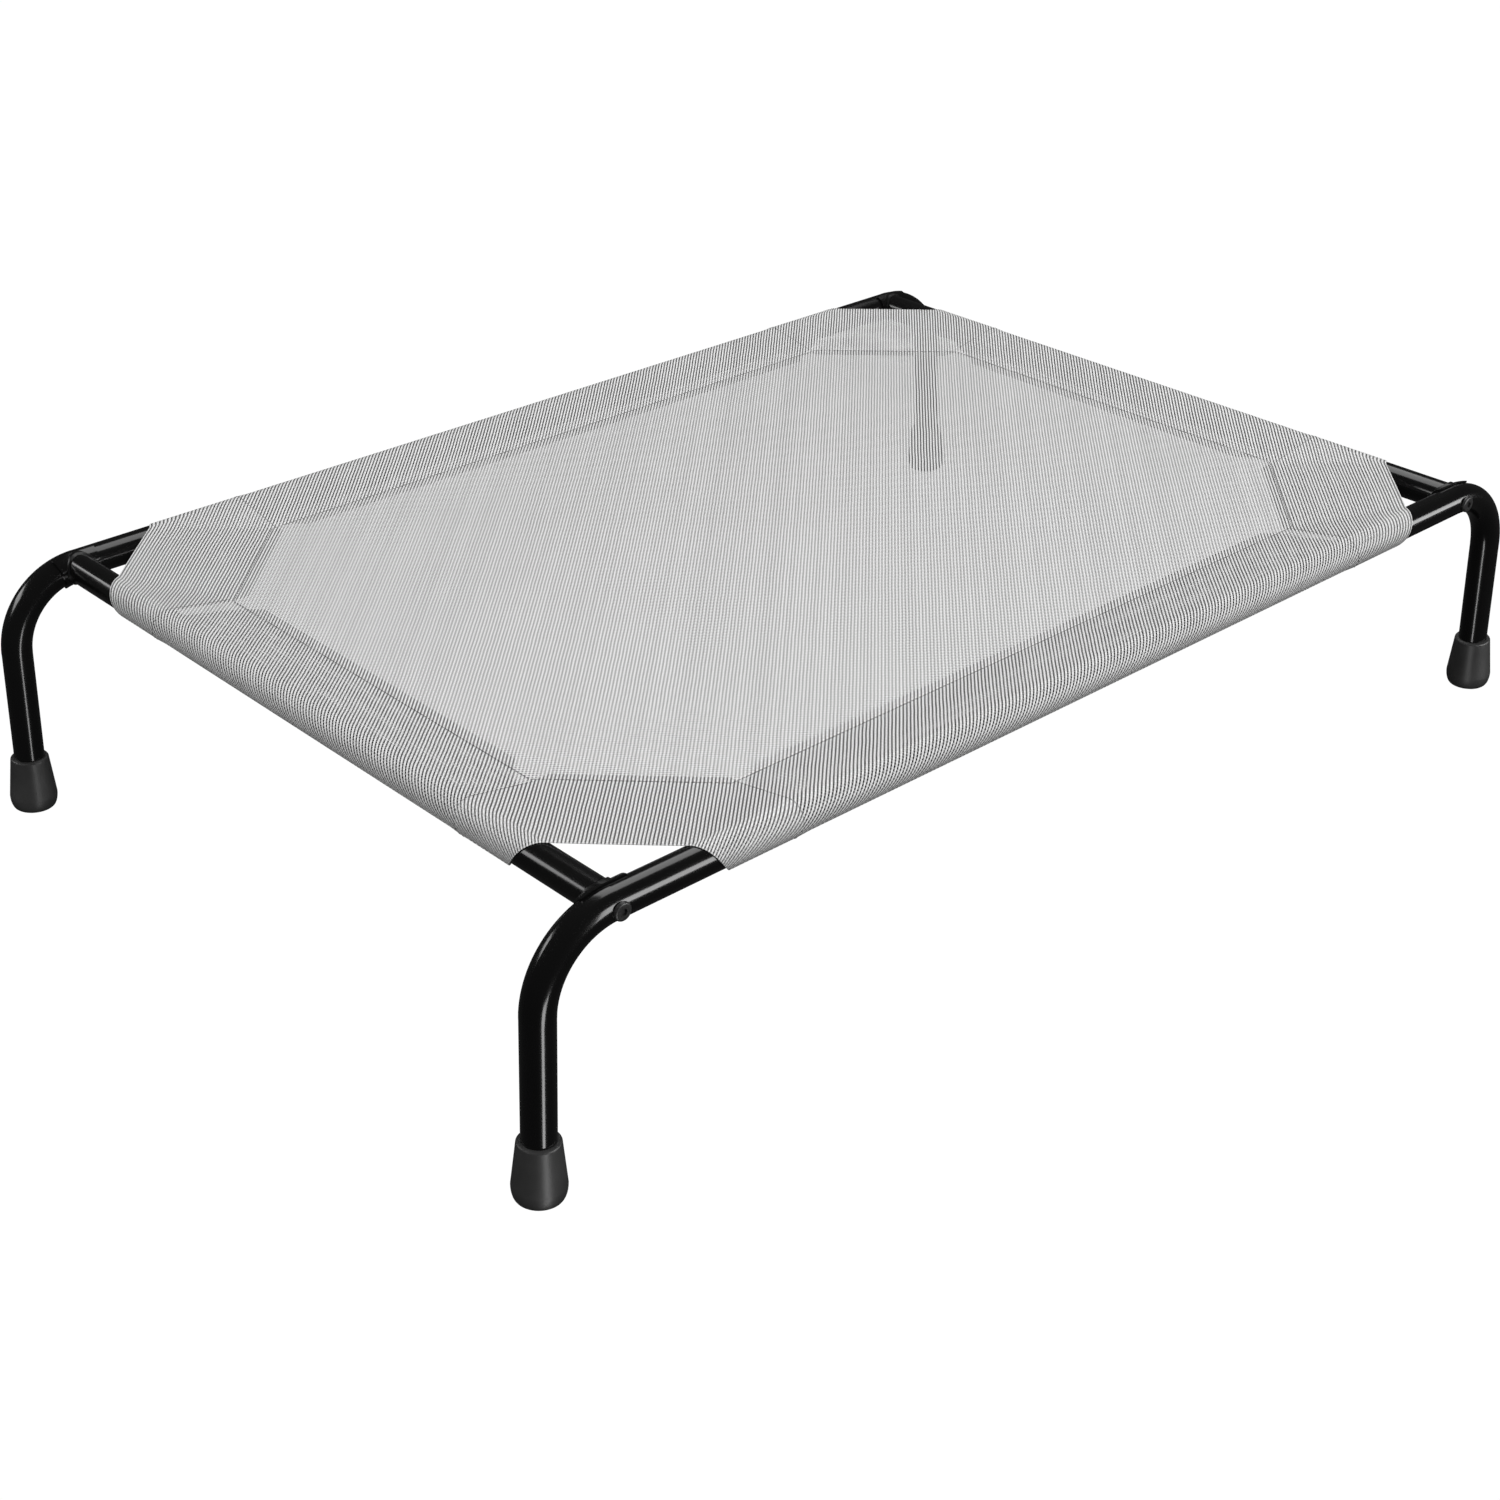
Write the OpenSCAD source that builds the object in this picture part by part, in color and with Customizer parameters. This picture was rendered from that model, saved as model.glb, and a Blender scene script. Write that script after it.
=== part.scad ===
// Raised pet bed: a steel tube frame on four capped legs, held together by a screw at
// each corner, with one mesh cover folded round the rails and sewn back on itself.
// Origin on the floor under the middle of the bed, +X along the long side, +Z up.
// Every corner part is drawn for the +X +Y corner and mirrored to the other three.

/* [Frame] */
// Distance between the centre lines of the two short rails
span_x = 947; // [800:1:1200]
// Distance between the centre lines of the two long rails
span_y = 697; // [560:1:900]
// Height of the rails' centre lines above the floor
rail_h = 202; // [160:1:260]
// Outer diameter of every tube
tube_d = 25; // [24:0.5:28]
// Wall thickness of every tube
tube_wall = 1.2; // [1:0.1:1.6]

/* [Legs] */
// Radius of the leg's bend at the tube's centre line
bend_r = 63; // [50:1:75]
// How far outside the short rail the leg's line crosses the rail's line
leg_out = 59; // [50:1:75]
// Outward lean of the leg from upright, in degrees
leg_lean = 2.8; // [0:0.1:5]
// Length of the leg's straight arm, from the short rail's centre line to the joint
arm_l = 103; // [80:1:140]
// Length of the narrowed end of the leg that slides into the long rail
spigot_l = 55; // [30:1:80]

/* [Feet] */
// Height of the rubber foot along the leg
foot_h = 46.5; // [35:0.5:60]
// Diameter of the foot's top rim
foot_rim_d = 31.5; // [30:0.5:34]
// Largest diameter of the foot
foot_max_d = 39; // [36:0.5:44]
// Diameter of the foot where its rounded edge meets the floor
foot_base_d = 31; // [28:0.5:34]
// Thickness of rubber under the end of the leg
foot_sole = 9; // [6:0.5:14]

/* [Fixings] */
// Width of the saddle plate along the leg's arm
saddle_w = 34; // [28:1:36]
// Thickness of the saddle plate
saddle_t = 1.8; // [1.5:0.1:2.5]
// Nominal diameter of the corner screw
screw_d = 8; // [6:0.5:8]
// Diameter of the screw's low domed head
head_d = 14; // [13:0.5:16]
// Length of the threaded plug in the end of the short rail
plug_l = 12; // [8:1:20]

/* [Cover] */
// Distance from a rail's centre line in to the seam that closes its sleeve
sleeve_in = 56; // [50:1:70]
// Height of the seams above the rails' centre lines
seam_up = 3.4; // [0:0.1:6]
// Sum of x and y along the folded edge that cuts off each corner
corner_cut = 750; // [700:1:780]
// Width of the doubled band behind each cut corner
corner_band = 99; // [80:1:110]
// Thickness of one layer of mesh as drawn
mesh_t = 1.2; // [0.8:0.1:1.6]

/* [Hidden] */
$fn = 64;

STEEL = "#151515";
RUBBER = "#2b2b2b";
FIXING = "#232323";
MESH = "#c9c9c9";

half_x = span_x / 2;
half_y = span_y / 2;
tube_r = tube_d / 2;
bore_r = tube_r - tube_wall;
slide_gap = 0.15;
spigot_r = bore_r - slide_gap;
taper_l = 5;
joint_x = half_x - arm_l;

// The bend turns from level to the leaning leg, between two tangent points
bend_turn = 90 - leg_lean;
bend_x = half_x + leg_out - bend_r * tan(bend_turn / 2);
bend_end_x = bend_x + bend_r * cos(leg_lean);
bend_drop = bend_r * (1 - sin(leg_lean));
leg_l = (rail_h - bend_drop) / cos(leg_lean);
floor_x = bend_end_x + leg_l * sin(leg_lean);
cut = 1;
// The bend is drawn a hair fatter than the straight tube, which runs a little way into it
swell = 0.08;
overlap = 0.5;

rim_round = 2;
seat_gap = 0.1;
saddle_in_r = tube_r + seat_gap;
saddle_out_r = saddle_in_r + saddle_t;
saddle_lip = 2.4;
saddle_turn = (half_x + saddle_w / 2 - bend_x) / bend_r * 180 / PI;
bead = 1.5;

screw_hole_r = screw_d / 2 + 0.3;
thread_gap = 0.05;
head_t = 2.5;
head_edge = 0.9;
head_flat_d = 10.6;
socket_af = 5;
socket_deep = 1.9;
plug_y = saddle_out_r + 0.4;

cover_gap = 0.3;
sleeve_in_r = tube_r + cover_gap;
sleeve_out_r = sleeve_in_r + mesh_t;
// Where the folded edge stops being carried by the rails, inside their crests
crest_in = 8.5;
// How far the sleeve's two faces run on before they would meet, past the seam
seam_lap = 2.5;
seam_x = half_x - sleeve_in;
seam_y = half_y - sleeve_in;
seam_sum = corner_cut - corner_band * sqrt(2);
fold_top = 13;
fold_t = 1.6;

// ---------- placing ----------

// One drawn corner, mirrored to the side asked for: -1 is left or front, 1 right or back
module corner(side_x, side_y) {
    mirror([side_x < 0 ? 1 : 0, 0, 0])
        mirror([0, side_y < 0 ? 1 : 0, 0])
            children();
}

// Moves a child from the rail crossing to the +X +Y corner
module at_crossing() {
    translate([half_x, half_y, rail_h]) children();
}

// ---------- shared shapes ----------

module rod_x(r, from, to) {
    translate([from, 0, 0]) rotate([0, 90, 0]) cylinder(r = r, h = to - from);
}

module rod_y(r, from, to) {
    translate([0, from, 0]) rotate([-90, 0, 0]) cylinder(r = r, h = to - from);
}

// Round stretch of the leg's bend, from its upper tangent point, about the crossing
module bend(r, turn) {
    translate([bend_x - half_x, 0, -bend_r])
        rotate([90, 0, 0])
            rotate([0, 0, 90 - turn])
                rotate_extrude(angle = turn)
                    translate([bend_r, 0]) circle(r = r + swell);
}

// Leg from the start of its arm to past its end, about the crossing
module leg_run(r, narrow_r, from, length) {
    shoulder = joint_x - half_x;
    rod_x(narrow_r, from, shoulder);
    translate([shoulder, 0, 0])
        rotate([0, 90, 0]) cylinder(r1 = narrow_r, r2 = r, h = taper_l);
    rod_x(r, shoulder + taper_l, bend_x - half_x + overlap);
    bend(r, bend_turn);
    translate([bend_end_x - half_x, 0, -bend_drop])
        rotate([0, 180 - leg_lean, 0])
            translate([0, 0, -overlap]) cylinder(r = r, h = length + overlap);
}

// Level arm and the first part of the bend, as the saddle plate follows them
module saddle_run(r) {
    rod_x(r, -saddle_w / 2, bend_x - half_x + overlap);
    bend(r, saddle_turn);
}

// The same, run on to both sides, to shape the end of the short rail
module cope_run(r) {
    rod_x(r, -2 * tube_r, bend_x - half_x + overlap);
    bend(r, 2 * saddle_turn);
}

// ---------- frame ----------

module long_rail(side_y) {
    color(STEEL)
        translate([0, side_y * half_y, rail_h])
            difference() {
                rod_x(tube_r, -joint_x, joint_x);
                rod_x(bore_r, -joint_x - cut, joint_x + cut);
            }
}

module short_rail(side_x) {
    color(STEEL)
        mirror([side_x < 0 ? 1 : 0, 0, 0])
            difference() {
                translate([half_x, 0, rail_h]) rod_y(tube_r, -half_y, half_y);
                translate([half_x, 0, rail_h]) rod_y(bore_r, -half_y - cut, half_y + cut);
                for (side_y = [-1, 1])
                    translate([half_x, side_y * half_y, rail_h]) cope_run(saddle_out_r);
            }
}

module leg(side_x, side_y) {
    start = joint_x - half_x - spigot_l;
    color(STEEL)
        corner(side_x, side_y) at_crossing()
            difference() {
                leg_run(tube_r, spigot_r, start, leg_l - foot_sole);
                leg_run(bore_r, spigot_r - tube_wall, start - cut, leg_l);
                rod_y(screw_hole_r, -2 * tube_r, 2 * tube_r);
            }
}

// Side of the foot: base edge, belly and straight taper to the rim
function foot_side(n) = [
    for (i = [0:n])
        let (a = -90 + 90 * i / n)
        [foot_base_d / 2 + (foot_max_d - foot_base_d) / 2 * cos(a), foot_h * 0.24 * (1 + sin(a))]
];

// Points of the foot's rounded rim, from its side in to its flat top
function foot_rim(steps) = [
    for (i = [0:steps])
        let (a = 90 * i / steps)
        [foot_rim_d / 2 - rim_round * (1 - cos(a)), foot_h - rim_round * (1 - sin(a))]
];

module foot(side_x, side_y) {
    below = 1.2;
    color(RUBBER)
        corner(side_x, side_y)
            difference() {
                translate([floor_x, half_y, 0])
                    rotate([0, -leg_lean, 0])
                        difference() {
                            rotate_extrude()
                                polygon(concat(
                                    [[0, -below], [foot_base_d / 2 - below, -below]],
                                    foot_side(8),
                                    foot_rim(6),
                                    [[0, foot_h]]
                                ));
                            translate([0, 0, foot_sole])
                                cylinder(r = tube_r, h = foot_h);
                        }
                translate([floor_x - foot_max_d, half_y - foot_max_d, -foot_h])
                    cube([2 * foot_max_d, 2 * foot_max_d, foot_h]);
            }
}

// ---------- corner fixings ----------

module saddle(side_x, side_y) {
    reach = 2 * saddle_w;
    color(STEEL)
        corner(side_x, side_y) at_crossing()
            difference() {
                saddle_run(saddle_out_r);
                saddle_run_bore();
                translate([-reach, -saddle_lip, -reach]) cube(2 * reach);
                rod_y(screw_hole_r, -2 * tube_r, 0);
            }
}

// Space inside the saddle plate, run past both of its ends
module saddle_run_bore() {
    rod_x(saddle_in_r, -saddle_w, bend_x - half_x + overlap);
    bend(saddle_in_r, 2 * saddle_turn);
}

module weld(side_x, side_y) {
    ring_r = tube_r + bead;
    color(STEEL)
        corner(side_x, side_y) at_crossing()
            intersection() {
                difference() {
                    rod_y(ring_r, -2 * tube_r, -saddle_lip);
                    rod_y(tube_r, -2 * tube_r - cut, 0);
                }
                difference() {
                    cope_run(saddle_out_r + bead);
                    cope_run(saddle_out_r);
                }
            }
}

module plug(side_x, side_y) {
    color(FIXING)
        corner(side_x, side_y) at_crossing()
            difference() {
                rod_y(bore_r - thread_gap, -plug_y - plug_l, -plug_y);
                rod_y(screw_d / 2 + thread_gap, -plug_y - plug_l - cut, 0);
            }
}

module screw(side_x, side_y) {
    color(FIXING)
        corner(side_x, side_y) at_crossing()
            difference() {
                union() {
                    rod_y(screw_d / 2, -plug_y - plug_l, tube_r + cut);
                    translate([0, tube_r, 0])
                        rotate([-90, 0, 0])
                            rotate_extrude()
                                polygon(head_side(6));
                }
                translate([0, tube_r + head_t - socket_deep, 0])
                    rotate([-90, 0, 0])
                        cylinder(d = socket_af / cos(30), h = head_t, $fn = 6);
            }
}

// Domed side of the screw's head, from the axis outwards, up and back
function head_side(n) = concat(
    [[0, 0], [head_d / 2, 0]],
    [for (i = [0:n])
        let (a = 90 * i / n)
        [head_flat_d / 2 + (head_d - head_flat_d) / 2 * cos(a),
         head_edge + (head_t - head_edge) * sin(a)]],
    [[0, head_t]]
);

// ---------- cover ----------

// Tangent point on a circle at the origin from a point, on its upper or lower side
function tangent(r, p, side) =
    let (
        d = norm(p),
        along = atan2(p[1], p[0]),
        spread = acos(r / d),
        a = along + side * spread
    )
    [r * cos(a), r * sin(a)];

// Round the rail, closing to a point at the seam; x runs inboard, y up
module teardrop(r, tip) {
    circle(r = r);
    polygon([tip, tangent(r, tip, 1), [0, 0], tangent(r, tip, -1)]);
}

// Sleeve's section, one layer of mesh round a rail and back to the seam
module sleeve_section() {
    difference() {
        teardrop(sleeve_out_r, [sleeve_in + seam_lap, seam_up]);
        teardrop(sleeve_in_r, [sleeve_in - seam_lap, seam_up]);
    }
}

// Plan of a sleeve: straight seam, then back along the corner band to the cut rail end.
// `half` and `out` are the seam's half length and place, `rail` the rail's centre line.
module sleeve_plan(half, out, rail) {
    edge = rail + sleeve_out_r + cut;
    crest = rail - crest_in;
    one = [[half, out], [corner_cut - crest, crest], [corner_cut - edge, edge]];
    two = [for (i = [len(one) - 1:-1:0]) [-one[i][0], one[i][1]]];
    polygon(concat(one, two));
}

// Sleeve along +X, on its rail at +Y
module sleeve_run(half, out, rail, length) {
    intersection() {
        translate([length / 2, rail, rail_h])
            rotate([90, 0, -90])
                linear_extrude(height = length) sleeve_section();
        linear_extrude(height = 2 * rail_h) sleeve_plan(half, out, rail);
    }
}

module long_sleeve(side_y) {
    color(MESH)
        mirror([0, side_y < 0 ? 1 : 0, 0])
            sleeve_run(seam_sum - seam_y, seam_y, half_y, span_x);
}

module short_sleeve(side_x) {
    color(MESH)
        mirror([side_x < 0 ? 1 : 0, 0, 0])
            rotate([0, 0, 90])
                mirror([0, 1, 0])
                    sleeve_run(seam_sum - seam_x, seam_x, half_x, span_y);
}

// Doubled band behind a cut corner, sloping down from the folded edge to its seam
module corner_fold(side_x, side_y) {
    fold = corner_cut / sqrt(2);
    seam = seam_sum / sqrt(2);
    crest_x = half_x - crest_in;
    crest_y = half_y - crest_in;
    color(MESH)
        corner(side_x, side_y)
            intersection() {
                rotate([0, 0, -45])
                    translate([-fold, 0, rail_h])
                        rotate([90, 0, 90])
                            linear_extrude(height = 2 * fold)
                                polygon([
                                    [seam, seam_up - fold_t / 2], [seam, seam_up + fold_t / 2],
                                    [fold, fold_top], [fold, fold_top - fold_t]
                                ]);
                linear_extrude(height = 2 * rail_h)
                    polygon([
                        [seam_sum - seam_y, seam_y], [corner_cut - crest_y, crest_y],
                        [crest_x, corner_cut - crest_x], [seam_x, seam_sum - seam_x]
                    ]);
            }
}

module cover_panel() {
    corners = [
        [seam_sum - seam_y, seam_y], [seam_x, seam_sum - seam_x],
        [seam_x, seam_x - seam_sum], [seam_sum - seam_y, -seam_y],
        [seam_y - seam_sum, -seam_y], [-seam_x, seam_x - seam_sum],
        [-seam_x, seam_sum - seam_x], [seam_y - seam_sum, seam_y]
    ];
    color(MESH)
        translate([0, 0, rail_h + seam_up - mesh_t / 2])
            linear_extrude(height = mesh_t) polygon(corners);
}

long_rail(-1);  // long_rail_front
long_rail(1);  // long_rail_back
short_rail(-1);  // short_rail_left
short_rail(1);  // short_rail_right
leg(-1, -1);  // leg_front_left
leg(1, -1);  // leg_front_right
leg(-1, 1);  // leg_back_left
leg(1, 1);  // leg_back_right
foot(-1, -1);  // foot_front_left
foot(1, -1);  // foot_front_right
foot(-1, 1);  // foot_back_left
foot(1, 1);  // foot_back_right
saddle(-1, -1);  // saddle_front_left
saddle(1, -1);  // saddle_front_right
saddle(-1, 1);  // saddle_back_left
saddle(1, 1);  // saddle_back_right
weld(-1, -1);  // weld_front_left
weld(1, -1);  // weld_front_right
weld(-1, 1);  // weld_back_left
weld(1, 1);  // weld_back_right
plug(-1, -1);  // plug_front_left
plug(1, -1);  // plug_front_right
plug(-1, 1);  // plug_back_left
plug(1, 1);  // plug_back_right
screw(-1, -1);  // screw_front_left
screw(1, -1);  // screw_front_right
screw(-1, 1);  // screw_back_left
screw(1, 1);  // screw_back_right
cover_panel();
long_sleeve(-1);  // sleeve_front
long_sleeve(1);  // sleeve_back
short_sleeve(-1);  // sleeve_left
short_sleeve(1);  // sleeve_right
corner_fold(-1, -1);  // corner_fold_front_left
corner_fold(1, -1);  // corner_fold_front_right
corner_fold(-1, 1);  // corner_fold_back_left
corner_fold(1, 1);  // corner_fold_back_right
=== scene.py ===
"""Raised pet bed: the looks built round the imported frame.

The steel, rubber and fixings keep their CAD meshes and get procedural materials. The
cover is one flat sheet of mesh cloth, folded at its corners, wrapped round the rails and
sewn back on itself, so every point of it is worked out from where it lies in the flat
sheet. Lengths are metres, in the frame's own axes.
"""
import math

import bmesh
import bpy
import numpy as np
from mathutils import Matrix, Vector


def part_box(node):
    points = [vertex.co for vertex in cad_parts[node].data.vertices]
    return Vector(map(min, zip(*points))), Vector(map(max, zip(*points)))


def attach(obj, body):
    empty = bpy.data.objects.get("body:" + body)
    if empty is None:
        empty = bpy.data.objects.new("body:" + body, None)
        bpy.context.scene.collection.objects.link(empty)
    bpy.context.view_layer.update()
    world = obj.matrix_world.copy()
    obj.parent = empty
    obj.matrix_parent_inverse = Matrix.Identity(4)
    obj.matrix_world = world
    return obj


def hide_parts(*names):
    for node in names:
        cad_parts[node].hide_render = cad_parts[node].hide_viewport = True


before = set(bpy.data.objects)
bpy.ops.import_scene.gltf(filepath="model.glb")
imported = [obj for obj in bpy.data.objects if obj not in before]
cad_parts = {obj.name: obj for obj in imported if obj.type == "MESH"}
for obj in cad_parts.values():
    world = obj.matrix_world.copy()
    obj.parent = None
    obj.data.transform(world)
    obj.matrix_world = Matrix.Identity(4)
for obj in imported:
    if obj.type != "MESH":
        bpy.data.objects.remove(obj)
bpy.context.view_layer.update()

MM = 0.001
BODY = "root"
SIDES = ("front", "back", "left", "right")
CORNERS = ("front_left", "front_right", "back_left", "back_right")
QUADRANTS = [(1, 1), (-1, 1), (-1, -1), (1, -1)]

# ---------- sizes read from the frame ----------

rail_low, rail_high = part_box("long_rail_back")
tube_r = (rail_high.z - rail_low.z) / 2
rail_z = (rail_high.z + rail_low.z) / 2
half_y = (rail_high.y + rail_low.y) / 2

panel_low, panel_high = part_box("cover_panel")
seam_x, seam_y = panel_high.x, panel_high.y
panel_z = (panel_high.z + panel_low.z) / 2
corner_low, corner_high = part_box("corner_fold_back_right")
seam_sum = corner_low.x + seam_y
fold_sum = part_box("sleeve_back")[1].x + corner_high.y
sleeve_in = half_y - seam_y

# ---------- the cloth as cut and folded ----------

CLOTH_T = 0.36 * MM         # thickness of one layer
FOLD_R = 0.25 * MM          # radius of the cloth's middle where it folds flat on itself
LAYER = 2 * FOLD_R          # from one layer's middle to the next one's
CLOTH_GAP = 0.8 * MM        # between the tube and the innermost layer, on average
SLACK = 0.65 * MM           # how far the sleeves hang below the tubes' middles
HEM = 9 * MM                # cloth beyond the stitching
RAMP = 10 * MM              # length over which a sleeve widens to pass over a corner flap
EASE = 14 * MM              # how far a sleeve's end slips outward under the rail
EASE_RUN = 85 * MM          # length of sleeve that takes up the slip
single_r = tube_r + CLOTH_GAP + CLOTH_T / 2
double_r = single_r + LAYER
seam_up = panel_z - rail_z + SLACK      # above the middle of the sleeve's curve

# Corner flaps are trimmed square to the rails, a little way from the ends of the seams
FLAP_OFF_X, FLAP_OFF_Y = -5 * MM, 3 * MM
flap_x = seam_sum - seam_y + FLAP_OFF_X
flap_y = seam_sum - seam_x + FLAP_OFF_Y


def sleeve_path(radius):
    """Slopes and lengths of the way from the seam, round the rail and back to the seam.

    It comes back one layer lower, or three where both runs of a corner flap lie between.
    """
    under_up = seam_up - LAYER - 2 * (radius - single_r)
    to_seam = np.hypot(sleeve_in, seam_up)
    upper = np.arcsin(radius / to_seam) - np.arctan2(seam_up, sleeve_in)
    over = np.sqrt(to_seam ** 2 - radius ** 2)
    to_under = np.hypot(sleeve_in, under_up)
    lower = np.arcsin(radius / to_under) + np.arctan2(under_up, sleeve_in)
    back = np.sqrt(to_under ** 2 - radius ** 2)
    return upper, over, lower, back


def sleeve_section(run, h, radius):
    """A point `run` past the seam and `h` off the cloth, as (outward, up) from the seam."""
    upper, over, lower, back = sleeve_path(radius)
    turn = math.pi + upper + lower
    angle = np.clip((run - over) / radius, 0, turn) - upper
    before = np.maximum(over - run, 0)
    after = np.maximum(run - over - radius * turn, 0)
    inward = np.minimum(after, back)
    out = sleeve_in + (radius + h) * np.sin(angle)
    up = -seam_up + (radius + h) * np.cos(angle)
    out = out - before * np.cos(upper) - inward * np.cos(lower) - (after - inward)
    up = up - before * np.sin(upper) + inward * np.sin(lower)
    return out, up


upper_turn, over_run, lower_turn, back_run = (float(a) for a in sleeve_path(double_r))
round_run = double_r * (math.pi + upper_turn + lower_turn)
flap_run = over_run + round_run + back_run + HEM
crest_rise = over_run * math.sin(upper_turn)
clip_sum = 2 * fold_sum - seam_sum + HEM * math.sqrt(2)


def smooth(t):
    """0 to 1, level at both ends."""
    t = np.clip(t, 0, 1)
    return t * t * (3 - 2 * t)


def sleeve_radius(along, flap_edge):
    """Radius of the outer layer's middle, wider where a corner flap lies under it."""
    return single_r + LAYER * smooth((along - flap_edge + RAMP) / RAMP)


def end_slip(run, along, across):
    """How far the cloth round a rail slips towards the rail's end, near the fold."""
    round_share = np.clip((run - over_run) / (round_run + back_run), 0, 1)
    from_fold = np.maximum(fold_sum - along - across, 0)
    return EASE * np.sin(math.pi * round_share) * (1 - smooth(from_fold / EASE_RUN))


def folded_corner(u, v, h):
    """Turns what lies past a corner's fold line under the outer layer, for u and v above 0."""
    past = (u + v - fold_sum) / math.sqrt(2)
    half_turn = math.pi / 2 * FOLD_R
    phi = np.clip(past / FOLD_R, -math.pi / 2, math.pi / 2)
    reach = np.where(past < half_turn, -half_turn + (FOLD_R + h) * np.cos(phi), -past)
    reach = np.where(past < -half_turn, past, reach)
    shift = (reach - past) / math.sqrt(2)
    under = -FOLD_R - (FOLD_R + h) * np.sin(phi)
    return u + shift, v + shift, under


def cloth_point(u, v, h):
    """Where a point of the flat sheet lies, `h` off the cloth's middle on its upper side.

    u and v run along X and Y from the middle of the sheet.
    """
    u, v, h = (np.asarray(a, float) for a in np.broadcast_arrays(u, v, h))
    side_u, side_v = np.where(u < 0, -1.0, 1.0), np.where(v < 0, -1.0, 1.0)
    u, v, h = folded_corner(np.abs(u), np.abs(v), h)
    run_x, run_y = u - seam_x, v - seam_y
    out_x, up_x = sleeve_section(np.maximum(run_x, 0), h, sleeve_radius(v, flap_y))
    out_y, up_y = sleeve_section(np.maximum(run_y, 0), h, sleeve_radius(u, flap_x))
    up_x = np.where(run_x > 0, up_x, h)
    up_y = np.where(run_y > 0, up_y, h)
    up_corner = h + crest_rise * (u + v - seam_sum) / (fold_sum - seam_sum)
    up = np.maximum(np.maximum(up_x, up_y), up_corner)
    x = np.where(run_x > 0, seam_x + out_x, u)
    y = np.where(run_y > 0, seam_y + out_y, v)
    round_x, round_y = run_x > over_run, run_y > over_run
    x = np.where(round_y, u + end_slip(run_y, u, v), x)
    y = np.where(round_x, v + end_slip(run_x, v, u), y)
    up = np.where(round_x, up_x, np.where(round_y, up_y, up))
    return np.stack([side_u * x, side_v * y, panel_z + up], -1)


# ---------- pieces ----------


def add_mesh(name, points, faces):
    """A new piece in the scene from its points and faces."""
    mesh = bpy.data.meshes.new(name)
    mesh.from_pydata([tuple(p) for p in points], [], faces)
    mesh.update()
    piece = bpy.data.objects.new(name, mesh)
    bpy.context.scene.collection.objects.link(piece)
    return piece


def spaced(low, high, step):
    """Values from low to high, evenly spaced by about step."""
    return np.linspace(low, high, max(2, round((high - low) / step) + 1))


def grid_lines(seam, far_seam, flap_edge, far_flap_edge):
    """Places of the flat mesh's lines along one axis, close together where it curves.

    The lines at the flap's edge and along the crease that leaves each corner of the seam
    keep the layers there from cutting through each other.
    """
    coarse, fine, least = 15 * MM, 2.7 * MM, 1.2 * MM
    crease = spaced(-2 * MM, 26 * MM, 3.5 * MM)
    creases = [
        seam + crease, seam_sum - far_seam + crease,
        fold_sum - far_seam - crease, fold_sum - seam_sum + seam - crease,
    ]
    sleeve = np.concatenate([
        spaced(over_run, over_run + round_run, fine),
        spaced(over_run + round_run, flap_run - HEM, coarse)[1:],
        [flap_run],
    ])
    kept = [0.0, seam, fold_sum - far_flap_edge, seam + flap_run]
    kept += [flap_edge - RAMP * t for t in (0, 0.25, 0.5, 0.75, 1)]
    wanted = np.concatenate([
        *creases,
        seam + sleeve,
        fold_sum - far_seam - sleeve,
        spaced(fold_sum - far_seam - over_run, seam + over_run, coarse),
        spaced(0, fold_sum - far_seam - flap_run, coarse),
    ])
    for place in wanted:
        if min(abs(place - k) for k in kept) > least:
            kept.append(float(place))
    half = np.array(sorted(kept))
    return np.concatenate([-half[:0:-1], half])


def flat_cover():
    """The sheet as cut, lying flat, with mesh lines along its folds."""
    us = grid_lines(seam_x, seam_y, flap_x, flap_y)
    vs = grid_lines(seam_y, seam_x, flap_y, flap_x)
    flat = bmesh.new()
    rows = [[flat.verts.new((u, v, 0)) for u in us] for v in vs]
    for lower, upper in zip(rows, rows[1:]):
        for a, b, c, d in zip(lower, lower[1:], upper[1:], upper):
            flat.faces.new((a, b, c, d))
    half_turn = math.pi / 2 * FOLD_R
    folds = [fold_sum / math.sqrt(2) + half_turn * t for t in (-1, -0.5, 0, 0.5, 1)]
    for side_u, side_v in QUADRANTS:
        across = Vector((side_u, side_v, 0)).normalized()
        for distance in folds + [clip_sum / math.sqrt(2)]:
            quadrant = [f for f in flat.faces if side_u * f.calc_center_median().x > 0
                        and side_v * f.calc_center_median().y > 0]
            geometry = quadrant + list({e for f in quadrant for e in f.edges})
            geometry += list({p for f in quadrant for p in f.verts})
            bmesh.ops.bisect_plane(
                flat, geom=geometry, dist=1e-7, plane_co=across * distance, plane_no=across
            )
    outside = []
    for face in flat.faces:
        centre = face.calc_center_median()
        u, v = abs(centre.x), abs(centre.y)
        trimmed = u > fold_sum - flap_y or v > fold_sum - flap_x
        if u + v > clip_sum or (u + v > fold_sum and trimmed):
            outside.append(face)
    bmesh.ops.delete(flat, geom=outside, context="FACES")
    return flat


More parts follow.
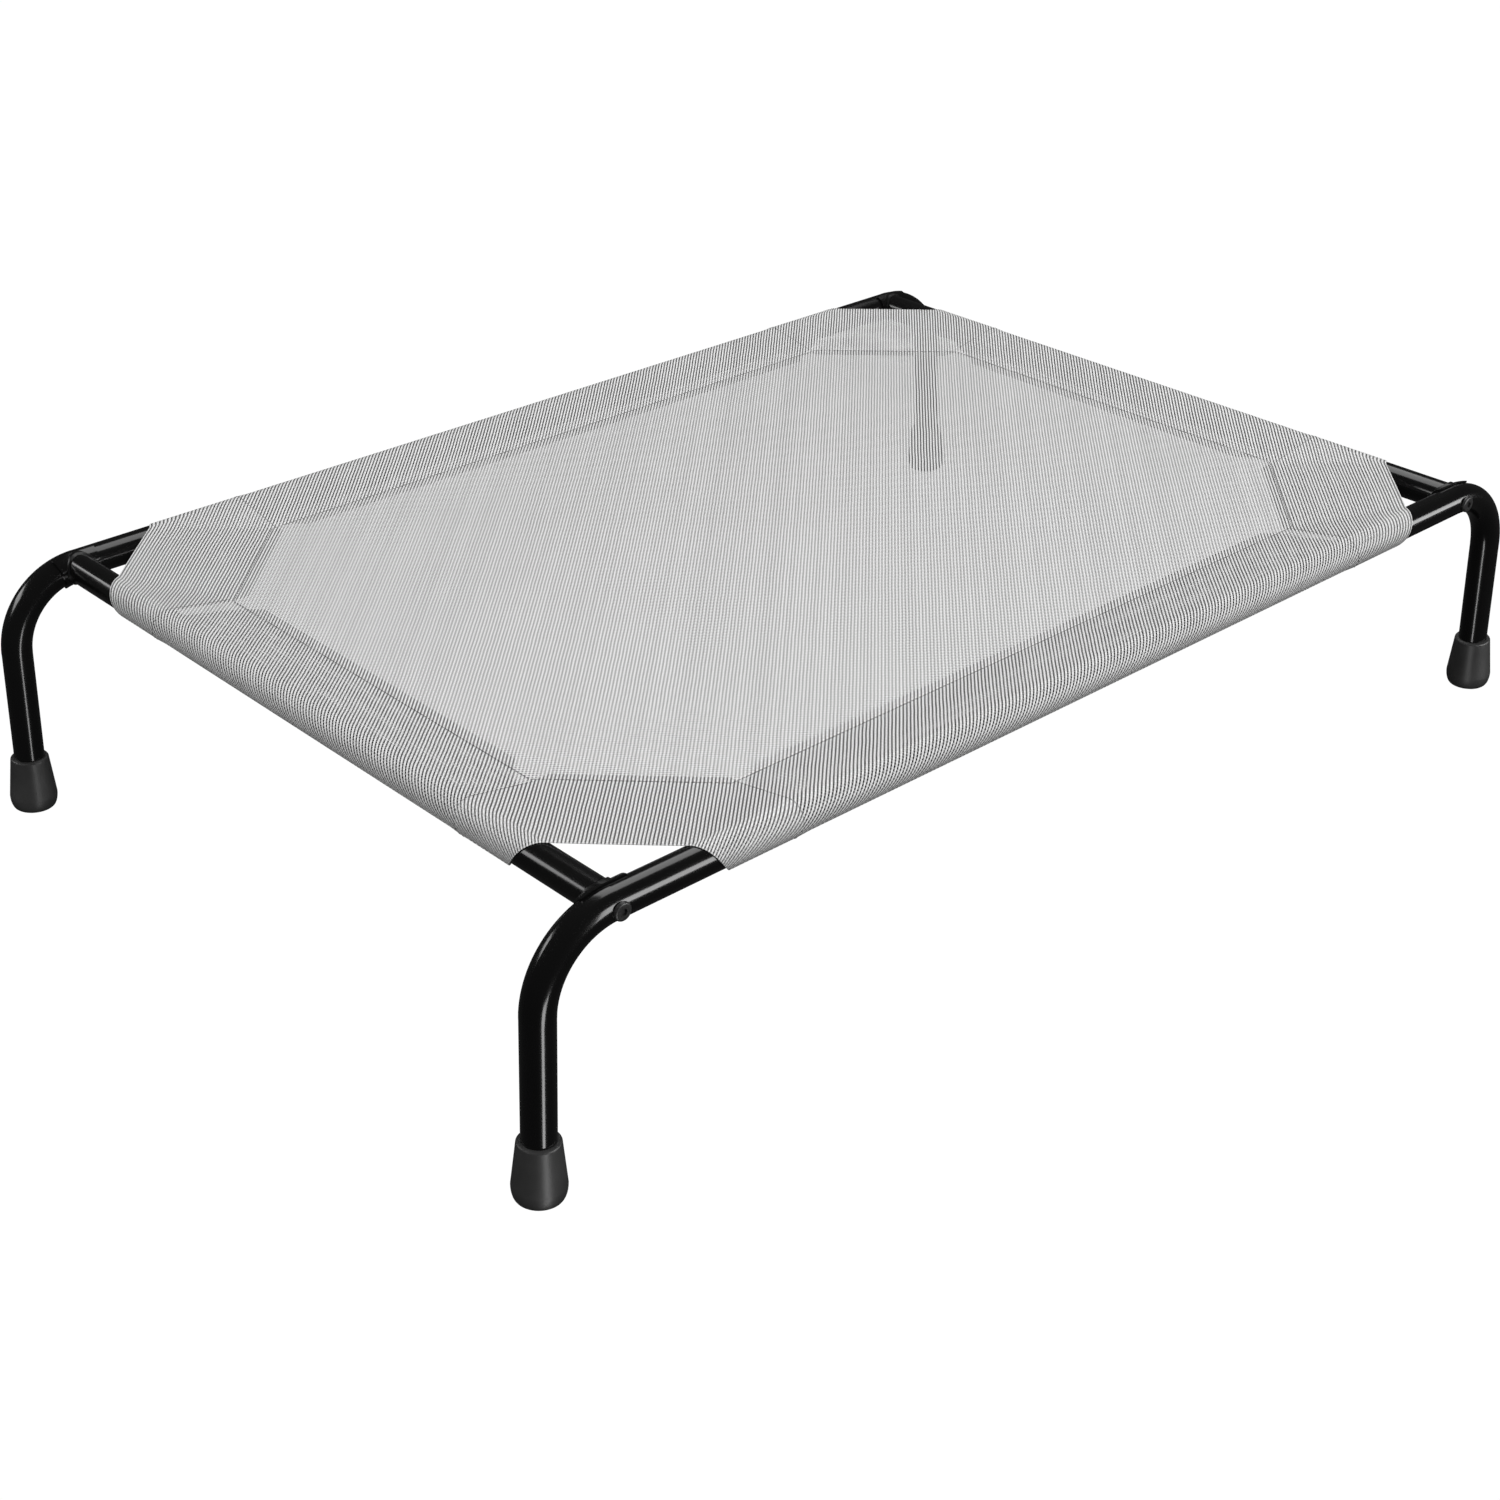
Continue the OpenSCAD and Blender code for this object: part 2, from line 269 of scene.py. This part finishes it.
def make_cover():
    """The folded sheet as one closed piece, with its flat place kept as the UV map."""
    flat = flat_cover()
    flat.verts.index_update()
    u = np.array([p.co.x for p in flat.verts])
    v = np.array([p.co.y for p in flat.verts])
    count = len(u)
    upper = [[p.index for p in f.verts] for f in flat.faces]
    lower = [[i + count for i in reversed(f)] for f in upper]
    rim = []
    for face in flat.faces:
        for loop in face.loops:
            if loop.edge.is_boundary:
                a, b = loop.vert.index, loop.link_loop_next.vert.index
                rim.append([b, a, a + count, b + count])
    flat.free()
    points = np.concatenate([
        cloth_point(u, v, CLOTH_T / 2), cloth_point(u, v, -CLOTH_T / 2)
    ])
    cover = add_mesh("cover", points, upper + lower + rim)
    flat_place = np.tile(np.stack([u, v], 1), (2, 1))
    corners = np.zeros(len(cover.data.loops), np.int32)
    cover.data.loops.foreach_get("vertex_index", corners)
    layer = cover.data.uv_layers.new(name="flat")
    layer.uv.foreach_set("vector", flat_place[corners].astype(np.float32).ravel())
    cover.data.polygons.foreach_set("use_smooth", [True] * len(cover.data.polygons))
    return cover


STITCH = 4.2 * MM           # from stitch to stitch
STITCH_GAP = 0.9 * MM       # where the thread dips into the cloth between two stitches
STITCH_SUNK = 0.1 * MM      # how far a stitch's ends lie in the cloth
SEAM_THREAD_R, TACK_THREAD_R = 0.32 * MM, 0.2 * MM
FLAP_HEM = 1.5 * MM         # from a flap's cut edge to the row that holds it


def stitch_row(start, end, h, lift):
    """Centre points and cloth normals of a row of stitches between two flat places."""
    start, end = np.array(start), np.array(end)
    length = float(np.linalg.norm(end - start))
    count = max(1, round(length / STITCH))
    step = 1 / count
    share = STITCH_GAP / length
    k = np.arange(count)[:, None]
    t = np.linspace(0, 1, 7)[None, :]
    place = k * step + share / 2 + t * (step - share)
    flat = start + place[..., None] * (end - start)
    height = h + lift * np.sin(math.pi * t) + 0 * place
    centre = cloth_point(flat[..., 0], flat[..., 1], height)
    normal = cloth_point(flat[..., 0], flat[..., 1], height + MM) - centre
    return centre, normal / np.linalg.norm(normal, axis=-1, keepdims=True)


def make_thread(name, rows, radius, sides=6):
    """Every stitch of the rows as a short bent tube, closed at both ends."""
    points, faces = [], []
    around = np.arange(sides) * 2 * math.pi / sides
    for centres, normals in rows:
        for centre, normal in zip(centres, normals):
            along = np.gradient(centre, axis=0)
            along /= np.linalg.norm(along, axis=1, keepdims=True)
            beside = np.cross(along, normal)
            rings = (
                centre[:, None]
                + radius * np.cos(around)[None, :, None] * normal[:, None]
                + radius * np.sin(around)[None, :, None] * beside[:, None]
            )
            first = len(points)
            points.extend(rings.reshape(-1, 3))
            for ring in range(len(centre) - 1):
                for i in range(sides):
                    a = first + ring * sides + i
                    b = first + ring * sides + (i + 1) % sides
                    faces.append([a, b, b + sides, a + sides])
            last = len(points) - sides
            faces.append([first + i for i in reversed(range(sides))])
            faces.append([last + i for i in range(sides)])
    thread = add_mesh(name, points, faces)
    thread.data.polygons.foreach_set("use_smooth", [True] * len(thread.data.polygons))
    return thread


def seam_corners():
    """The octagon of the seam, corner by corner, in flat places."""
    near, far = seam_sum - seam_y, seam_sum - seam_x
    return [
        (near, seam_y), (-near, seam_y), (-seam_x, far), (-seam_x, -far),
        (-near, -seam_y), (near, -seam_y), (seam_x, -far), (seam_x, far),
    ]


def make_seam_thread():
    """The lockstitch that closes all four sleeves and holds the corner flaps."""
    above = CLOTH_T / 2 - STITCH_SUNK
    below = -LAYER - CLOTH_T / 2 + STITCH_SUNK
    corners = seam_corners()
    rows = []
    for start, end in zip(corners, corners[1:] + corners[:1]):
        rows.append(stitch_row(start, end, above, 0.3 * MM))
        rows.append(stitch_row(start, end, below, -0.3 * MM))
    return make_thread("seam_thread", rows, SEAM_THREAD_R)


def make_tack_thread():
    """The short rows that hold the corner flaps' cut edges to the outer layer."""
    row_u, row_v = flap_x + FLAP_HEM, flap_y + FLAP_HEM
    above = CLOTH_T / 2 - STITCH_SUNK
    lift = 0.25 * MM
    rows = []
    for side_u, side_v in QUADRANTS:
        u, v = side_u * row_u, side_v * row_v
        far_u, far_v = side_u * (fold_sum - row_v), side_v * (fold_sum - row_u)
        rows.append(stitch_row((u, side_v * seam_y), (u, far_v), above, lift))
        rows.append(stitch_row((side_u * seam_x, v), (far_u, v), above, lift))
    return make_thread("tack_thread", rows, TACK_THREAD_R)


# ---------- materials ----------


class Graph:
    """A material with one Principled node, and short ways to add and join nodes."""

    def __init__(self, name):
        self.material = bpy.data.materials.new(name)
        self.material.use_nodes = True
        self.nodes = self.material.node_tree.nodes
        self.links = self.material.node_tree.links
        self.shader = self.nodes["Principled BSDF"]
        self.output = self.nodes["Material Output"]

    def set(self, **values):
        """Puts constants on the Principled node's own sockets."""
        for name, value in values.items():
            self.shader.inputs[name.replace("_", " ")].default_value = value

    def join(self, source, target):
        self.links.new(source, target)

    def node(self, kind, **settings):
        made = self.nodes.new("ShaderNode" + kind)
        for name, value in settings.items():
            setattr(made, name, value)
        return made

    def math(self, operation, *values):
        """The result of a Math node, from numbers and other nodes' outputs."""
        made = self.node("Math", operation=operation)
        for socket, value in zip(made.inputs, values):
            if isinstance(value, bpy.types.NodeSocket):
                self.join(value, socket)
            else:
                socket.default_value = value
        return made.outputs[0]

    def noise(self, place, scale, detail=2.0, roughness=0.5):
        made = self.node("TexNoise")
        made.inputs["Scale"].default_value = scale
        made.inputs["Detail"].default_value = detail
        made.inputs["Roughness"].default_value = roughness
        self.join(place, made.inputs["Vector"])
        return made.outputs["Fac"]

    def spread(self, value, low, high):
        """A value from 0 to 1 as one from low to high."""
        return self.math("MULTIPLY_ADD", value, high - low, low)

    def ramp(self, value, stops):
        """A grey for a value, from stops of place and grey."""
        made = self.node("ValToRGB")
        ends = made.color_ramp.elements
        while len(ends) < len(stops):
            ends.new(0.5)
        for element, (place, grey) in zip(ends, stops):
            element.position = place
            element.color = (grey, grey, grey, 1)
        self.join(value, made.inputs["Fac"])
        return made.outputs["Color"]

    def bump(self, height, distance, strength=1.0):
        made = self.node("Bump")
        made.inputs["Distance"].default_value = distance
        made.inputs["Strength"].default_value = strength
        self.join(height, made.inputs["Height"])
        self.join(made.outputs["Normal"], self.shader.inputs["Normal"])

    def object_place(self):
        return self.node("TexCoord").outputs["Object"]


def powder_coat():
    """Gloss black powder coat on steel tube, with the faint ripple of baked powder."""
    g = Graph("black_powder_coat")
    place = g.object_place()
    ripple = g.noise(place, 420, 3.0)
    cloud = g.noise(place, 14, 4.0)
    g.join(g.ramp(cloud, [(0.3, 0.0028), (0.7, 0.0042)]), g.shader.inputs["Base Color"])
    g.join(g.spread(cloud, 0.14, 0.22), g.shader.inputs["Roughness"])
    g.bump(ripple, 0.02 * MM, 0.3)
    g.set(Specular_IOR_Level=0.5, Coat_Weight=0.3, Coat_Roughness=0.07)
    return g.material


def weld_coat():
    """The same coat over a weld bead, which keeps the bead's ripples."""
    g = Graph("coated_weld")
    place = g.object_place()
    beads = g.noise(place, 260, 1.0)
    g.join(g.ramp(beads, [(0.35, 0.003), (0.65, 0.006)]), g.shader.inputs["Base Color"])
    g.join(g.spread(beads, 0.24, 0.4), g.shader.inputs["Roughness"])
    g.bump(beads, 0.5 * MM, 0.6)
    g.set(Specular_IOR_Level=0.5)
    return g.material


def rubber():
    """Dark grey moulded rubber with a fine matt grain."""
    g = Graph("moulded_rubber")
    place = g.object_place()
    grain = g.noise(place, 1500, 2.0)
    bloom = g.noise(place, 45, 3.0)
    g.join(g.ramp(bloom, [(0.3, 0.027), (0.7, 0.038)]), g.shader.inputs["Base Color"])
    g.join(g.spread(bloom, 0.38, 0.48), g.shader.inputs["Roughness"])
    g.bump(grain, 0.04 * MM, 0.25)
    g.set(Specular_IOR_Level=0.6)
    return g.material


def black_oxide():
    """Dark satin finish of the screws and their plugs."""
    g = Graph("black_oxide")
    place = g.object_place()
    turned = g.noise(place, 900, 2.0)
    g.join(g.ramp(turned, [(0.3, 0.05), (0.7, 0.09)]), g.shader.inputs["Base Color"])
    g.join(g.spread(turned, 0.3, 0.48), g.shader.inputs["Roughness"])
    g.bump(turned, 0.03 * MM, 0.3)
    g.set(Metallic=0.75)
    return g.material


PITCH = 2.67 * MM           # from yarn to yarn; both sets lie at 45 degrees to the rails
WARP_W, WEFT_W = 0.56, 0.42         # share of the pitch that a yarn covers
WARP_H, WARP_WAVE = 0.72, 0.16      # a yarn's middle height, and its rise and fall
WEFT_H, WEFT_WAVE = 0.28, 0.42
YARN_ROUND = 0.32           # how far its edges lie below its middle
# Grey by height: the top stop is the yarn's own light grey; the lower stops are painted shade
# where yarn lies low, under other yarn.
CLOTH_TONES_AND_SHADE = [(0.0, 0.1), (0.3, 0.2), (0.6, 0.58), (0.84, 0.7)]    # grey by height


def mesh_cloth():
    """Open plain weave of coated yarn, drawn on both faces so that it has a depth. Its grey
    falls with the yarn's height: the yarn's own light grey on the tops, painted shade on the
    lower yarn and its edges.
    """
    g = Graph("mesh_cloth")
    flat = g.node("UVMap", uv_map="flat").outputs["UV"]
    split = g.node("SeparateXYZ")
    g.join(flat, split.inputs[0])
    u, v = split.outputs[0], split.outputs[1]
    waver = g.spread(g.noise(flat, 40, 1.0), -0.12, 0.12)
    scale = 1 / (math.sqrt(2) * PITCH)
    across = g.math("MULTIPLY_ADD", g.math("SUBTRACT", u, v), scale, waver)
    along = g.math("MULTIPLY_ADD", g.math("ADD", u, v), scale, waver)

    def yarns(place, other, turn, width, middle, rise):
        """Where a set of yarns is, its height over and under the other set, its number."""
        number = g.math("FLOOR", place)
        share = g.math("MULTIPLY_ADD", g.math("SUBTRACT", place, number), 2.0, -1.0)
        share = g.math("DIVIDE", g.math("ABSOLUTE", share), width)
        on = g.math("LESS_THAN", share, 1.0)
        share = g.math("MINIMUM", share, 1.0)
        arch = g.math("SQRT", g.math("SUBTRACT", 1.0, g.math("MULTIPLY", share, share)))
        phase = g.math("ADD", g.math("SUBTRACT", other, turn), number)
        wave = g.math("COSINE", g.math("MULTIPLY", phase, math.pi))
        height = g.math("MULTIPLY_ADD", arch, YARN_ROUND, middle - YARN_ROUND)
        height = g.math("MULTIPLY_ADD", wave, rise, height)
        return on, g.math("MULTIPLY", on, height), number

    on_warp, warp, number = yarns(across, along, 0.5, WARP_W, WARP_H, WARP_WAVE)
    on_weft, weft, _ = yarns(along, across, 1.5, WEFT_W, WEFT_H, WEFT_WAVE)
    height = g.math("MAXIMUM", warp, weft)
    solid = g.math("MAXIMUM", on_warp, on_weft)

    dye = g.node("TexWhiteNoise", noise_dimensions="1D")
    g.join(number, dye.inputs["W"])
    shade = g.spread(dye.outputs["Value"], -0.03, 0.03)
    shade = g.math("ADD", shade, g.spread(g.noise(flat, 9, 4.0), -0.03, 0.03))
    # The ramp paints shade by height: yarn that lies lower comes out darker.
    g.join(g.ramp(g.math("ADD", height, shade), CLOTH_TONES_AND_SHADE), g.shader.inputs["Base Color"])
    g.bump(height, 0.3 * MM, 0.5)
    g.set(Roughness=0.5, Specular_IOR_Level=0.4)

    hole = g.node("BsdfTransparent")
    mix = g.node("MixShader")
    g.join(solid, mix.inputs["Fac"])
    g.join(hole.outputs[0], mix.inputs[1])
    g.join(g.shader.outputs[0], mix.inputs[2])
    g.join(mix.outputs[0], g.output.inputs["Surface"])
    return g.material


def thread_and_seam_shade():
    """Twisted polyester thread, darker than the cloth; its dark grey is partly the thread's
    own colour and partly painted shade for the groove along the seam and the shadow at the
    flaps' cut edges.
    """
    g = Graph("thread_and_seam_shade")
    place = g.object_place()
    ply = g.noise(place, 2200, 2.0)
    # Dark grey: the thread's own colour, and also painted shade for the seam's groove and the
    # flaps' cut edges.
    g.join(g.ramp(ply, [(0.3, 0.11), (0.7, 0.2)]), g.shader.inputs["Base Color"])
    g.bump(ply, 0.1 * MM, 0.5)
    g.set(Roughness=0.6, Specular_IOR_Level=0.3)
    return g.material


def dress_frame():
    """Gives every CAD node that stays its procedural material."""
    coat, weld, foot, oxide = powder_coat(), weld_coat(), rubber(), black_oxide()
    finishes = {
        "long_rail": coat, "short_rail": coat, "leg": coat, "saddle": coat,
        "weld": weld, "foot": foot, "screw": oxide, "plug": oxide,
    }
    for name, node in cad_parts.items():
        for start, material in finishes.items():
            if name.startswith(start):
                node.data.polygons.foreach_set("use_smooth", [True] * len(node.data.polygons))
                for slot in node.material_slots:
                    slot.material = material


# ---------- floor, lights and camera ----------


STAGE_SEEN = 1.02           # how bright the stage is to the camera
STAGE_FILL = 0.28           # and as light on the object
STAGE_GLOSS = 0.03          # and mirrored in the gloss black tubes


def stage_strength(nodes, links):
    """The stage's brightness for each kind of ray."""
    ray = nodes.new("ShaderNodeLightPath")
    total = None
    for kind, seen in (("Is Camera Ray", STAGE_SEEN), ("Is Diffuse Ray", STAGE_FILL)):
        add = nodes.new("ShaderNodeMath")
        add.operation = "MULTIPLY_ADD"
        add.inputs[1].default_value = seen - STAGE_GLOSS
        add.inputs[2].default_value = STAGE_GLOSS
        links.new(ray.outputs[kind], add.inputs[0])
        if total:
            links.new(total, add.inputs[2])
        total = add.outputs[0]
    return total


def white_stage():
    """A plain white floor and surround that are dim in the gloss, as in a dark studio."""
    reach = 6
    square = [(reach * u, reach * v, 0) for u, v in QUADRANTS]
    floor = add_mesh("floor", square, [[0, 1, 2, 3]])
    floor.visible_glossy = False
    floor.visible_shadow = False
    g = Graph("white_floor")
    glow = g.node("Emission")
    g.join(stage_strength(g.nodes, g.links), glow.inputs["Strength"])
    g.join(glow.outputs[0], g.output.inputs["Surface"])
    floor.data.materials.append(g.material)

    world = bpy.data.worlds.new("surround")
    bpy.context.scene.world = world
    world.use_nodes = True
    back = world.node_tree.nodes["Background"]
    back.inputs["Color"].default_value = (1, 1, 1, 1)
    strength = stage_strength(world.node_tree.nodes, world.node_tree.links)
    world.node_tree.links.new(strength, back.inputs["Strength"])


def panel_light(name, start, end, width, glow, mirrored=True, lights=True):
    """A lit panel from start to end that faces the bed, by how bright its face is.

    It can be seen mirrored in the gloss, light the object, or both.
    """
    start, end = Vector(start), Vector(end)
    light = bpy.data.lights.new(name, "AREA")
    light.shape = "RECTANGLE"
    light.size, light.size_y = (end - start).length, width
    light.energy = glow * math.pi * light.size * width
    along = (end - start).normalized()
    place = (start + end) / 2
    behind = place - Vector((0, 0, rail_z))
    behind = (behind - behind.dot(along) * along).normalized()
    lamp = bpy.data.objects.new(name, light)
    axes = Matrix((along, behind.cross(along), behind)).transposed()
    lamp.matrix_world = Matrix.Translation(place) @ axes.to_4x4()
    lamp.visible_camera = False
    lamp.visible_glossy = mirrored
    lamp.visible_diffuse = lights
    bpy.context.scene.collection.objects.link(lamp)


def studio_lights():
    """A broad top light and three soft side lights, with panels that draw lines in the tubes.

    The leg line's panel stands below the floor, which reflections leave out.
    """
    panel_light("top", (0.1, 0.4, 2.0), (1.9, 0.4, 2.0), 1.5, 2.3)
    panel_light("front", (-1.2, -3.0, 2.7), (2.0, -3.0, 2.7), 1.4, 8.2, mirrored=False)
    panel_light("left", (-1.9, -0.5, 1.5), (-1.9, 0.9, 1.5), 0.8, 4.5, mirrored=False)
    panel_light("back", (-0.8, 2.3, 2.3), (0.8, 2.3, 2.3), 1.0, 3.0, mirrored=False)
    panel_light("front_line", (0.2, -2.35, 0.5), (3.4, -2.35, 0.75), 0.95, 6.5, lights=False)
    panel_light("side_line", (-1.6, 0.8, 0.85), (-1.7, 3.6, 2.0), 0.5, 4.0, lights=False)
    panel_light("leg_line", (-0.64, -1.04, -1.1), (-0.64, -1.04, -0.1), 0.2, 6.0, lights=False)


def add_camera():
    """The camera at the photograph's angle, above and outside the front left corner."""
    turn, drop, tilt = math.radians(42.02), math.radians(29.41), math.radians(-0.35)
    ahead = Vector((
        math.cos(drop) * math.sin(turn), math.cos(drop) * math.cos(turn), -math.sin(drop)
    ))
    level = Vector((math.cos(turn), -math.sin(turn), 0))
    upright = level.cross(ahead)
    right = math.cos(tilt) * level + math.sin(tilt) * upright
    up = right.cross(ahead)
    lens = bpy.data.cameras.new("camera")
    lens.sensor_width = 36
    lens.lens = 58.72
    camera = bpy.data.objects.new("camera", lens)
    axes = Matrix((right, up, -ahead)).transposed()
    camera.matrix_world = Matrix.Translation((-1.2906, -1.3912, 1.0593)) @ axes.to_4x4()
    bpy.context.scene.collection.objects.link(camera)
    bpy.context.scene.camera = camera


# ---------- the scene ----------

dress_frame()

cover = make_cover()
seam_thread = make_seam_thread()
tack_thread = make_tack_thread()
cover.data.materials.append(mesh_cloth())
thread_and_shade_finish = thread_and_seam_shade()
for thread in (seam_thread, tack_thread):
    thread.data.materials.append(thread_and_shade_finish)
for piece in (cover, seam_thread, tack_thread):
    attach(piece, BODY)

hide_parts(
    "cover_panel", *[f"sleeve_{side}" for side in SIDES],
    *[f"corner_fold_{corner}" for corner in CORNERS]
)

white_stage()
studio_lights()
add_camera()
bpy.context.scene.view_settings.view_transform = "Standard"
bpy.context.scene.cycles.transparent_max_bounces = 32
